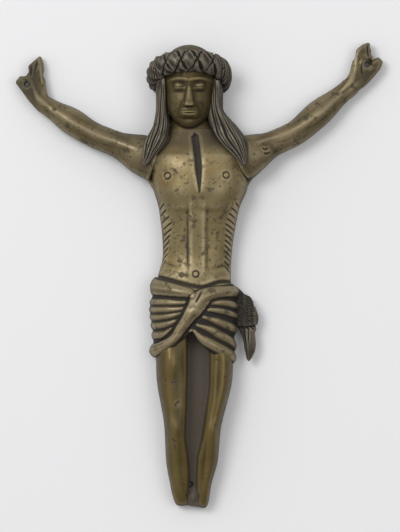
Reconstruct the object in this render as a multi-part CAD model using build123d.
from build123d import *
from collections import namedtuple
from math import copysign, cos, hypot, pi, radians, sin, tan
import os

# A small cast corpus: the figure from a crucifix, flat at the back, made to be nailed to a cross.
# Millimetres. X runs to the figure's left, Y to its back and Z to its head. The origin is on the
# flat back, at the nail hole between the feet. Pairs of values are for its right and its left side.

# Heights, each above the one before it
calf_height = 9.0
knee_height = 11.0
thigh_height = 22.0
crotch_height = 14.0
hip_height = 8.0
belt_height = 10.0
waist_height = 10.0
rib_height = 17.0
breast_height = 9.0
chest_height = 9.0
shoulder_height = 8.0
neck_length = 4.2

# Trunk, as widths and as depths from the flat back
crotch_width = 27.6
crotch_depth = 13.0
hip_width = 29.4
hip_depth = 14.2
belt_width = 27.6
belt_depth = 13.5
waist_width = 25.4
waist_depth = 12.8
rib_width = 29.4
rib_depth = 15.6
breast_width = 35.0
breast_depth = 17.0
chest_width = 36.0
chest_depth = 16.4
shoulder_width = 31.0
shoulder_depth = 12.5
collar_width = 30.0
collar_depth = 13.0
neck_width = 13.0
neck_depth = 12.0

# How far the middle of the figure sways off the foot nail
hip_sway = 1.2
waist_sway = 2.4
rib_sway = 3.1
breast_sway = 3.6
chest_sway = 2.1
head_sway = -0.5

# Legs and the web of metal between them
thigh_widths = (11.0, 8.4)
knee_widths = (7.4, 6.6)
calf_widths = (7.8, 7.4)
ankle_widths = (6.2, 5.0)
toe_widths = (5.8, 4.4)
thigh_places = (-7.2, 11.4)
knee_places = (-5.9, 7.8)
calf_places = (-5.2, 6.4)
ankle_places = (-4.5, 5.2)
toe_places = (-3.6, 4.6)
thigh_depth = 13.0
knee_depth = 12.6
calf_depth = 10.4
ankle_depth = 9.2
toe_depth = 7.4
toe_drops = (8.0, 8.8)
ball_share = 0.65
leg_root_depth = 12.0
leg_root_height = 4.0
web_depth = 4.6
web_drop = 7.4

# Head and its plain face
skull_length = 31.4
dome_height = 11.6
head_lean = 16.0
chin_height = 1.8
chin_width = 8.8
jaw_height = 6.4
jaw_width = 15.6
cheek_height = 12.0
cheek_width = 18.0
skull_width = 21.4
chin_depth = 17.6
nose_width = 4.0
nose_rise = 2.2
eye_width = 3.7
eye_set = 0.5
eye_rise = 0.6
mouth_width = 6.4
mouth_height = 1.6
mouth_rise = 0.5

# Arms and hands, with angles above the horizon
shoulder_drop = 6.4
upper_arm_lengths = (22.0, 20.2)
upper_arm_raises = (22.5, 25.5)
forearm_lengths = (21.6, 26.8)
forearm_raises = (32.0, 40.0)
palm_lengths = (11.4, 10.8)
palm_raises = (58.0, 53.0)
finger_lengths = (7.0, 6.2)
finger_raises = (103.0, 66.0)
stump_lengths = (2.2, 3.2)
stump_raises = (60.0, 52.0)
arm_root_width = 16.4
arm_root_depth = 12.4
arm_root_reach = 4.0
arm_top_width = 15.2
arm_top_share = 0.08
upper_arm_width = 9.4
upper_arm_depth = 9.4
upper_arm_share = 0.6
elbow_width = 9.2
elbow_depth = 9.0
forearm_width = 9.9
forearm_depth = 8.8
forearm_share = 0.4
wrist_width = 6.9
wrist_depth = 6.4
wrist_share = 0.88
palm_width = 11.0
palm_depth = 5.2
palm_share = 0.55
finger_width = 6.6
finger_tip_width = 2.0
finger_depth = 4.8
finger_tip_depth = 2.7
stump_width = 5.4
stump_tip_width = 3.6
finger_offsets = (1.4, 2.2)
stump_offsets = (2.2, 3.1)
arm_back_gap = 0.4

# Joints and nail holes
seat_gap = 0.15
tenon_diameter = 6.0
tenon_length = 7.0
tenon_clearance = 0.1
pin_diameter = 2.2
pin_length = 9.5
pin_clearance = 0.1
hand_nail_diameter = 2.0
hand_nail_setbacks = (2.6, 0.8)
hand_nail_offsets = (1.2, 0.0)
foot_nail_diameter = 1.8

# Crown of thorns
crown_height = 8.0
crown_thickness = 5.6
crown_bite = 0.6
crown_tilt = 22.0
crown_drop = 11.1
crown_strands = 4
crown_twists = 3
strand_relief = 0.1
points_per_strand = 6
crown_half_sweep = 118.0

# Hair
temple_width = 4.8
chin_lock_width = 7.6
lock_width = 8.8
lock_tip_width = 2.2
lock_depth = 14.6
lock_thickness = 4.0
lock_sink = 1.0
lock_drop = 14.0
fall_drop = 4.6
chin_spreads = (-0.2, 4.2)
fall_spreads = (0.6, 6.6)
tip_spreads = (3.2, 10.4)
cheek_cover = 1.5
hair_back_gap = 2.0
hair_tuck = 1.0
strand_count = 5
hair_relief = 0.06

# Loincloth
cloth_thickness = 1.1
cloth_bite = 1.4
band_height = 6.0
band_relief = 1.4
fold_count = 5
fold_relief = 0.9
cloth_dip = 2.4
cloth_lifts = (2.0, 0.0)
hem_rise = 0.2
hem_drops = (10.4, 11.4)
cloth_overlap = 25.0
roll_width = 6.2
roll_thickness = 4.6
roll_lift = 1.0
knot_width = 9.6
knot_drop = 12.5
knot_depth = 6.4
tail_width = 5.6
tail_length = 15.0
tail_depth = 3.4

# Stops of the roll: across the hips from the right, down the cloth, and its share of the full size
roll_stops = ((0.88, 0.03, 0.7), (0.66, 0.12, 0.95), (0.46, 0.33, 1), (0.27, 0.67, 1), (0.09, 0.9, 0.85))

# Stops of the knot and of its tail: out from the hip, down, and its share of the full size
knot_stops = ((0.0, 0.0, 0.60), (0.40, 0.40, 0.90), (0.50, 1.0, 0.75))
tail_stops = ((0.40, 0.0, 0.80), (0.55, 0.50, 1.0), (0.50, 1.0, 0.40))
tail_start = 0.85

# Shape of the slices
widest_lift = 4.0
back_overrun = 3.0
body_power = 2.35
limb_power = 2.15
outline_points = 20
cloth_points = 28
level_sections = 24
limb_sections = 22
digit_sections = 5
round_sections = 26
twist_sections = 64

# Levels worked out from the heights
knee_level = calf_height + knee_height
thigh_level = knee_level + thigh_height
crotch_level = thigh_level + crotch_height
hip_level = crotch_level + hip_height
belt_level = hip_level + belt_height
waist_level = belt_level + waist_height
rib_level = waist_level + rib_height
breast_level = rib_level + breast_height
chest_level = breast_level + chest_height
shoulder_level = chest_level + shoulder_height
chin_level = shoulder_level + neck_length
head_level = chin_level + skull_length * cos(radians(head_lean))
eye_level = (chin_level + head_level) / 2
nose_level = (chin_level + eye_level) / 2
mouth_level = nose_level - (nose_level - chin_level) / 3
crown_level = head_level - crown_drop

RIGHT, LEFT = 0, 1
OUTWARD = (-1, 1)
Slice = namedtuple("Slice", "level middle width front widest back", defaults=(widest_lift, -back_overrun))
Stop = namedtuple("Stop", "along x y level width depth")


def blended(stations, at):
    """The values at one place between stations, joined smoothly and without overshoot."""
    spans = [after[0] - before[0] for before, after in zip(stations, stations[1:])]
    here = sum(station[0] < at for station in stations[1:-1])
    share = (at - stations[here][0]) / spans[here]
    values = []
    for column in zip(*stations):
        slopes = [(after - before) / span for before, after, span in zip(column, column[1:], spans)]
        leave = steady_slope(slopes, here) * spans[here]
        reach = steady_slope(slopes, here + 1) * spans[here]
        rise = column[here + 1] - column[here]
        curve = (leave + reach - 2 * rise) * share ** 3 + (3 * rise - 2 * leave - reach) * share ** 2
        values.append(column[here] + leave * share + curve)
    return values


def steady_slope(slopes, station):
    """The slope at a station: flat at a peak, and otherwise between those of its two sides."""
    before = slopes[max(station - 1, 0)]
    after = slopes[min(station, len(slopes) - 1)]
    return 2 * before * after / (before + after) if before * after > 0 else 0.0


def unit_outline(power, relief=0.0, lobes=0, turn=0.0, points=outline_points):
    """A circle of points, squared a little by the power, with lobes where strands show."""
    outline = []
    for step in range(points):
        angle = 2 * pi * step / points
        swell = 1 + relief * cos(lobes * angle - turn)
        across = copysign(abs(cos(angle)) ** (2 / power), cos(angle))
        along = copysign(abs(sin(angle)) ** (2 / power), sin(angle))
        outline.append((swell * across, swell * along))
    return outline


def closed_wire(points):
    """A smooth closed outline in four arcs, with even parameters, so that outlines join cleanly."""
    count = len(points)
    arc = count // 4
    evenly = [step / arc for step in range(arc + 1)]
    edges = []
    for start in range(0, count, arc):
        through = [points[(start + step) % count] for step in range(arc + 1)]
        ends = [heading(points, start) * arc, heading(points, start + arc) * arc]
        edges.append(Edge.make_spline(through, tangents=ends, parameters=evenly, scale=False))
    return Wire(edges)


def heading(points, index):
    """The way an outline runs at one of its points, as far as one step goes."""
    before = Vector(points[(index - 1) % len(points)])
    after = Vector(points[(index + 1) % len(points)])
    return (after - before) / 2


def slice_wire(cut, outline):
    """One level slice: half an oval from its widest place to the front, and half to the back."""
    points = []
    for across, along in outline:
        reach = cut.front - cut.widest if along < 0 else cut.widest - cut.back
        points.append((cut.middle + cut.width / 2 * across, -cut.widest + reach * along, cut.level))
    return closed_wire(points)


def stacked(cuts, grow=0.0, power=body_power, relief=0.0, lobes=0, sections=level_sections):
    """A solid through level slices, all of them larger by the growth."""
    outline = unit_outline(power, relief, lobes)
    wires = []
    for step in range(sections):
        level = cuts[0].level + (cuts[-1].level - cuts[0].level) * step / (sections - 1)
        cut = Slice(*blended(cuts, level))
        larger = cut._replace(width=cut.width + 2 * grow, front=cut.front + grow, back=cut.back - grow)
        wires.append(slice_wire(larger, outline))
    return Solid.make_loft(wires)


def routed(places):
    """Stops for a limb, each with its distance along the way."""
    stops = []
    along = 0.0
    for place in places:
        if stops:
            along += Vector(place[:3]).sub(Vector(stops[-1][1:4])).length
        stops.append(Stop(along, *place))
    return stops


def limb(places, grow=0.0, power=limb_power, sections=limb_sections):
    """A solid along a route, with an oval across the way at every stop."""
    stops = routed(places)
    length = stops[-1].along
    outline = unit_outline(power)
    wires = []
    for step in range(sections):
        at = length * step / (sections - 1)
        here = Stop(*blended(stops, at))
        before = Stop(*blended(stops, max(at - length / sections, 0)))
        after = Stop(*blended(stops, min(at + length / sections, length)))
        way = Vector(after[1:4]).sub(Vector(before[1:4])).normalized()
        across = way.cross(Vector(0, 1, 0)).normalized()
        place = Plane(origin=here[1:4], x_dir=across, z_dir=way)
        half_width = here.width / 2 + grow
        half_depth = here.depth / 2 + grow
        wires.append(oval_wire(place, half_width, half_depth, outline))
    return Solid.make_loft(wires)


def oval_wire(place, half_width, half_depth, outline):
    corners = [(half_width * across, half_depth * along, 0) for across, along in outline]
    return closed_wire([place.from_local_coords(corner) for corner in corners])


def behind_back():
    """Everything behind the flat back."""
    size = 4 * head_level
    return Pos(0, size / 2, 0) * Box(size, size, size)


def trunk_slices():
    return [
        Slice(crotch_level, hip_sway, crotch_width, crotch_depth),
        Slice(hip_level, hip_sway, hip_width, hip_depth),
        Slice(belt_level, hip_sway, belt_width, belt_depth),
        Slice(waist_level, waist_sway, waist_width, waist_depth),
        Slice(rib_level, rib_sway, rib_width, rib_depth),
        Slice(breast_level, breast_sway, breast_width, breast_depth),
        Slice(chest_level, chest_sway, chest_width, chest_depth),
        Slice(shoulder_level, chest_sway, shoulder_width, shoulder_depth),
    ]


def trunk(grow=0.0):
    return stacked(trunk_slices(), grow)


def neck(grow=0.0):
    """The slope from the shoulders up to the neck, which ends inside the head."""
    low = Slice(chest_level, chest_sway, collar_width, collar_depth)
    high = Slice(chin_level + neck_width / 2, head_sway, neck_width, neck_depth)
    return stacked([low, high], grow, sections=2)


def leg(side, grow=0.0):
    """A leg from its blunt toes to a root that ends inside the hips."""
    ball_level = -toe_drops[side] * ball_share
    root_level = hip_level + leg_root_height
    cuts = [
        Slice(-toe_drops[side], toe_places[side], toe_widths[side] / 2, toe_depth / 2, toe_depth / 4),
        Slice(ball_level, toe_places[side], toe_widths[side], toe_depth),
        Slice(0, ankle_places[side], ankle_widths[side], ankle_depth),
        Slice(calf_height, calf_places[side], calf_widths[side], calf_depth),
        Slice(knee_level, knee_places[side], knee_widths[side], knee_depth),
        Slice(thigh_level, thigh_places[side], thigh_widths[side], thigh_depth),
        Slice(root_level, thigh_places[side], thigh_widths[side], leg_root_depth),
    ]
    return stacked(cuts, grow, limb_power)


def web(grow=0.0):
    """The thin wall of metal between the legs, which carries the foot nail."""
    levels = [-web_drop, 0, calf_height, knee_level, thigh_level, hip_level]
    places = [toe_places, ankle_places, calf_places, knee_places, thigh_places, thigh_places]
    right_edge = [(place[RIGHT], level) for place, level in zip(places, levels)]
    left_edge = [(place[LEFT], level) for place, level in zip(places, levels)]
    outline = make_face(Plane.XZ * Polyline(*right_edge, *reversed(left_edge), close=True))
    behind = back_overrun / 2
    return Pos(0, behind, 0) * extrude(outline, behind + web_depth + grow, dir=(0, -1, 0))


def skull_stops():
    """Places up the axis of the head, from the chin to high on the dome, with the half width there."""
    widest = skull_length - dome_height
    dome = [radians(angle) for angle in (0, 30, 60)]
    chin = (chin_height, chin_width / 2)
    jaw = (jaw_height, jaw_width / 2)
    cheek = (cheek_height, cheek_width / 2)
    over = [(widest + dome_height * sin(angle), skull_width / 2 * cos(angle)) for angle in dome]
    return [(0, 0), chin, jaw, cheek, *over]


def head_place():
    """The plane of the egg: its origin at the chin, its Y up the axis that leans to the back."""
    lean = radians(head_lean)
    chin = (head_sway, -chin_depth + chin_width / 2, chin_level)
    return Plane(origin=chin, x_dir=(1, 0, 0), z_dir=(0, -cos(lean), sin(lean)))


def head(grow=0.0):
    """An egg turned about its axis, in a front half and a back half."""
    side = [(radius + grow, along) for along, radius in skull_stops()[1:]]
    low = (0, -grow)
    high = (0, skull_length + grow)
    profile = Spline(low, *side, high, tangents=[(1, 0), (-1, 0)], tangent_scalars=[1, 1])
    half = make_face(profile + Line(high, low))
    turned = revolve(half, Axis.Y, 180)
    return head_place() * (turned + Rot(0, 180, 0) * turned)


def face_front(level):
    """How far the middle of the face stands before the flat back."""
    lean = radians(head_lean)
    along = (level - chin_level) / cos(lean)
    radius = blended(skull_stops(), along)[1]
    return chin_depth - chin_width / 2 - along * sin(lean) + radius * cos(lean)


def face():
    """A plain nose, a mouth and two eyeballs, on the usual proportions of a face."""
    bridge = face_front(eye_level)
    base = face_front(nose_level)
    lips = face_front(mouth_level)
    root = base - nose_width
    nose = stacked([
        Slice(nose_level, head_sway, nose_width, base + nose_rise, base, root),
        Slice(eye_level, head_sway, nose_width / 2, bridge + nose_rise / 3, bridge - nose_rise, root),
    ], sections=2)
    bar = Rot(0, 90, 0) * Cylinder(mouth_height, mouth_width)
    mouth = Pos(head_sway, mouth_height - mouth_rise - lips, mouth_level) * bar
    ball = Sphere(eye_width / 2)
    sunk = eye_width / 2 - eye_rise - bridge + eye_set
    eyes = [Pos(head_sway + way * eye_width, sunk, eye_level) * ball for way in OUTWARD]
    return [nose, mouth, *eyes]


def shoulder(side):
    """Where the middle of an arm leaves the trunk."""
    return (chest_sway + OUTWARD[side] * chest_width / 2, shoulder_level - shoulder_drop)


def reached(start, side, raise_angle, length):
    angle = radians(raise_angle)
    return (start[0] + OUTWARD[side] * length * cos(angle), start[1] + length * sin(angle))


def arm_points(side):
    """Shoulder, elbow, wrist and palm end."""
    points = [shoulder(side)]
    for raises, lengths in (
        (upper_arm_raises, upper_arm_lengths),
        (forearm_raises, forearm_lengths),
        (palm_raises, palm_lengths),
    ):
        points.append(reached(points[-1], side, raises[side], lengths[side]))
    return points


def arm_stop(point, width, depth):
    return (point[0], -arm_back_gap - depth / 2, point[1], width, depth)


def part_way(start, end, share):
    return (start[0] + (end[0] - start[0]) * share, start[1] + (end[1] - start[1]) * share)


def arm_loft(side, grow=0.0):
    """An arm and its palm, from a root inside the trunk."""
    root, elbow, wrist, palm_end = arm_points(side)
    inside = reached(root, side, upper_arm_raises[side], -arm_root_reach)
    return limb([
        arm_stop(inside, arm_root_width, arm_root_depth),
        arm_stop(part_way(root, elbow, arm_top_share), arm_top_width, arm_root_depth),
        arm_stop(part_way(root, elbow, upper_arm_share), upper_arm_width, upper_arm_depth),
        arm_stop(elbow, elbow_width, elbow_depth),
        arm_stop(part_way(elbow, wrist, forearm_share), forearm_width, forearm_depth),
        arm_stop(part_way(elbow, wrist, wrist_share), wrist_width, wrist_depth),
        arm_stop(wrist, wrist_width, wrist_depth),
        arm_stop(part_way(wrist, palm_end, palm_share), palm_width, palm_depth),
        arm_stop(palm_end, palm_width, palm_depth),
    ], grow)


def palm_place(side, setback, offset):
    """A place on the palm: back from its end, and off its middle towards the stump."""
    palm_end = arm_points(side)[-1]
    back = reached(palm_end, side, palm_raises[side], -setback)
    return reached(back, side, palm_raises[side] - 90, offset)


def digit(side, offset, raise_angle, length, width, tip_width):
    """A group of fingers that leaves the end of the palm."""
    root = width / 3
    base = palm_place(side, root, offset)
    tip = reached(base, side, raise_angle, length + root)
    return limb([
        arm_stop(base, width, finger_depth),
        arm_stop(part_way(base, tip, palm_share), width, finger_depth),
        arm_stop(tip, tip_width, finger_tip_depth),
    ], sections=digit_sections)


def tenon(side, clearance=0.0):
    """The round peg of an arm, from inside the arm to its end in the trunk."""
    root = shoulder(side)
    inner = reached(root, side, upper_arm_raises[side], -tenon_length - clearance)
    outer = reached(root, side, upper_arm_raises[side], tenon_diameter / 2)
    depth = -arm_back_gap - arm_root_depth / 2
    place = Plane(origin=(inner[0], depth, inner[1]), z_dir=(outer[0] - inner[0], 0, outer[1] - inner[1]))
    length = hypot(outer[0] - inner[0], outer[1] - inner[1])
    peg = Cylinder(tenon_diameter / 2 + clearance, length, align=(Align.CENTER, Align.CENTER, Align.MIN))
    return place * peg


def back_drill(x, level, diameter, depth):
    """A round bar from behind the back to a depth in front of it."""
    behind = back_overrun * 2
    bar = Cylinder(diameter / 2, behind + depth, align=(Align.CENTER, Align.CENTER, Align.MIN))
    return Pos(x, behind, level) * Rot(90, 0, 0) * bar


def pin_bar(side, clearance=0.0):
    place = reached(shoulder(side), side, upper_arm_raises[side], -tenon_length / 2)
    return back_drill(*place, pin_diameter + 2 * clearance, pin_length + clearance)


def hand_nail(side):
    place = palm_place(side, hand_nail_setbacks[side], hand_nail_offsets[side])
    return back_drill(*place, hand_nail_diameter, arm_root_depth)


def arm(side):
    finger_way = (-finger_offsets[side], finger_raises[side], finger_lengths[side])
    stump_way = (stump_offsets[side], stump_raises[side], stump_lengths[side])
    fingers = digit(side, *finger_way, finger_width, finger_tip_width)
    stump = digit(side, *stump_way, stump_width, stump_tip_width)
    whole = largest(arm_loft(side) + fingers + stump - trunk(seat_gap))
    return whole + tenon(side) - pin_bar(side, pin_clearance) - hand_nail(side) - behind_back()


def largest(shape):
    """The main piece of a cut, without the crumbs that a cut leaves."""
    return max(shape.solids(), key=lambda solid: solid.volume)


def body():
    whole = trunk()
    for piece in (neck(), head(), leg(RIGHT), leg(LEFT), web(), *face()):
        whole += piece
    for side in (RIGHT, LEFT):
        whole -= tenon(side, tenon_clearance)
        whole -= pin_bar(side, pin_clearance)
    return whole - back_drill(0, 0, foot_nail_diameter, knee_depth) - behind_back()


def crown_loft(grow=0.0):
    """A twist of strands round the head, open at the back and lower there than at the brow."""
    across = skull_width / 2 + crown_thickness / 2 - crown_bite
    axis_depth = chin_depth - chin_width / 2 - (crown_level - chin_level) * tan(radians(head_lean))
    forward = face_front(crown_level) - axis_depth + crown_thickness / 2 - crown_bite
    wires = []
    for step in range(twist_sections):
        share = step / (twist_sections - 1)
        angle = radians(crown_half_sweep) * (2 * share - 1)
        turn = 2 * pi * crown_twists * share * crown_strands
        x = head_sway + across * sin(angle)
        y = -axis_depth - forward * cos(angle)
        level = crown_level + forward * cos(angle) * tan(radians(crown_tilt))
        way = (across * cos(angle), forward * sin(angle), -forward * sin(angle) * tan(radians(crown_tilt)))
        place = Plane(origin=(x, y, level), x_dir=(sin(angle), -cos(angle), 0), z_dir=way)
        outline = unit_outline(2, strand_relief, crown_strands, turn, points_per_strand * crown_strands)
        wires.append(oval_wire(place, crown_thickness / 2 + grow, crown_height / 2 + grow, outline))
    return Solid.make_loft(wires)


def crown():
    return largest(crown_loft() - head(seat_gap) - behind_back())


def hair_slices(side):
    """The fall of hair: deep and narrow beside the face, then a broad lock on the breast."""
    out = OUTWARD[side]
    temple = head_sway + out * ((cheek_width + temple_width) / 2 - cheek_cover)
    at_chin = temple + out * chin_spreads[side]
    at_fall = temple + out * fall_spreads[side]
    at_tip = temple + out * tip_spreads[side]
    rest = chest_depth - lock_sink
    back = rest - lock_thickness
    chin = Slice(chin_level, at_chin, chin_lock_width, lock_depth, lock_depth / 2, hair_back_gap)
    nose = chin._replace(level=nose_level, middle=temple, width=temple_width)
    return [
        Slice(chin_level - lock_drop, at_tip, lock_tip_width, rest, rest - lock_thickness / 2, back),
        Slice(chin_level - fall_drop, at_fall, lock_width, rest, back, back / 2),
        chin,
        nose,
        nose._replace(level=crown_level - hair_tuck),
    ]


def hair(side):
    whole = stacked(hair_slices(side), 0, limb_power, hair_relief, strand_count)
    head_and_neck = (head(seat_gap), neck(seat_gap))
    for neighbour in (trunk(seat_gap), *head_and_neck, arm_loft(side, seat_gap), crown_loft(seat_gap)):
        whole = largest(whole - neighbour)
    return whole


def hip_point(level, angle, out):
    """A point off the skin of the hips, at an angle about the axis of the trunk."""
    cut = Slice(*blended(trunk_slices(), max(level, crotch_level)))
    along = cut.front - cut.widest if sin(angle) < 0 else cut.widest - cut.back
    across = abs(cos(angle)) / (cut.width / 2 + out)
    forward = abs(sin(angle)) / (along + out)
    reach = (across ** body_power + forward ** body_power) ** (-1 / body_power)
    return (hip_sway + reach * cos(angle), -widest_lift + reach * sin(angle), level)


def cloth_edges(angle):
    """The upper edge and the hem of the wrap, both drawn together in front."""
    side = LEFT if cos(angle) > 0 else RIGHT
    aside = abs(cos(angle))
    top = belt_level - cloth_dip + (cloth_dip + cloth_lifts[side]) * aside
    return top, crotch_level + hem_rise - hem_drops[side] * aside


def cloth_swell(share, band_share):
    """The rolled band at the top and, below it, the folds."""
    if share < band_share:
        return band_relief * sin(pi * share / band_share)
    fold = fold_count * (share - band_share) / (1 - band_share)
    return fold_relief * (1 - cos(2 * pi * fold)) / 2


def wrap_wire(angle, grow):
    """One upright slice of the wrap: down its folds outside, and straight up inside the body."""
    top, hem = cloth_edges(angle)
    height = top - hem
    outside = []
    for step in range(cloth_points):
        share = step / (cloth_points - 1)
        out = cloth_thickness + cloth_swell(share, band_height / height) + grow
        outside.append(hip_point(top + grow - (height + 2 * grow) * share, angle, out))
    lining = [hip_point(level, angle, -cloth_bite) for level in (hem - grow, top + grow)]
    evenly = [step / (cloth_points - 1) for step in range(cloth_points)]
    folds = Edge.make_spline(outside, parameters=evenly)
    corners = [outside[-1], *lining, outside[0]]
    return Wire([folds, *[Edge.make_line(start, end) for start, end in zip(corners, corners[1:])]])


def wrap(grow=0.0):
    first = radians(cloth_overlap)
    last = radians(-180 - cloth_overlap)
    steps = [first + (last - first) * step / (round_sections - 1) for step in range(round_sections)]
    return Solid.make_loft([wrap_wire(angle, grow) for angle in steps])


def front_of_hips(across, level):
    """A place on the front of the hips, at a share of their width there, counted from the right."""
    cut = Slice(*blended(trunk_slices(), max(level, crotch_level)))
    half_width = cut.width / 2 + cloth_thickness
    aside = 2 * across - 1
    forward = (cut.front - cut.widest) * (1 - abs(aside) ** body_power) ** (1 / body_power)
    return hip_sway + half_width * aside, cut.widest + forward


def roll():
    """The end of the cloth that crosses the front, from the left hip down to the right thigh."""
    top = belt_level - cloth_dip
    low = crotch_level + hem_rise - hem_drops[RIGHT]
    places = []
    for across, down, size in roll_stops:
        level = top + (low - top) * down
        x, front = front_of_hips(across, level)
        places.append((x, -front - roll_lift, level, roll_width * size, roll_thickness * size))
    return limb(places)


def off_the_hips(piece):
    """A piece of cloth, cut clear of the trunk, the legs and the web."""
    for neighbour in (trunk(seat_gap), leg(RIGHT, seat_gap), leg(LEFT, seat_gap), web(seat_gap)):
        piece = largest(piece - neighbour)
    return piece


def loincloth():
    return largest(off_the_hips(wrap()) + off_the_hips(roll()) - behind_back())


def knot():
    """The knotted end at the left hip, and the tail that hangs from it."""
    side = hip_sway + hip_width / 2 + cloth_thickness
    top = belt_level - band_height / 2
    start = top - knot_drop * tail_start
    bundle = []
    for out, down, size in knot_stops:
        place = (side + knot_width * out, -widest_lift, top - knot_drop * down)
        bundle.append((*place, knot_width * size, knot_depth * size))
    tail = []
    for out, down, size in tail_stops:
        place = (side + knot_width * out, -widest_lift, start - tail_length * down)
        tail.append((*place, tail_width * size, tail_depth * size))
    return largest(off_the_hips(limb(bundle) + limb(tail) - wrap(seat_gap)))


def main():
    os.makedirs("parts", exist_ok=True)
    nodes = {
        "body": body(),
        "right_arm": arm(RIGHT),
        "left_arm": arm(LEFT),
        "shoulder_pins": Compound([pin_bar(side) - behind_back() for side in (RIGHT, LEFT)]),
        "crown_of_thorns": crown(),
        "hair_right": hair(RIGHT),
        "hair_left": hair(LEFT),
        "loincloth": loincloth(),
        "loincloth_knot": knot(),
    }
    for name, shape in nodes.items():
        export_step(shape, f"parts/{name}.step")


main()
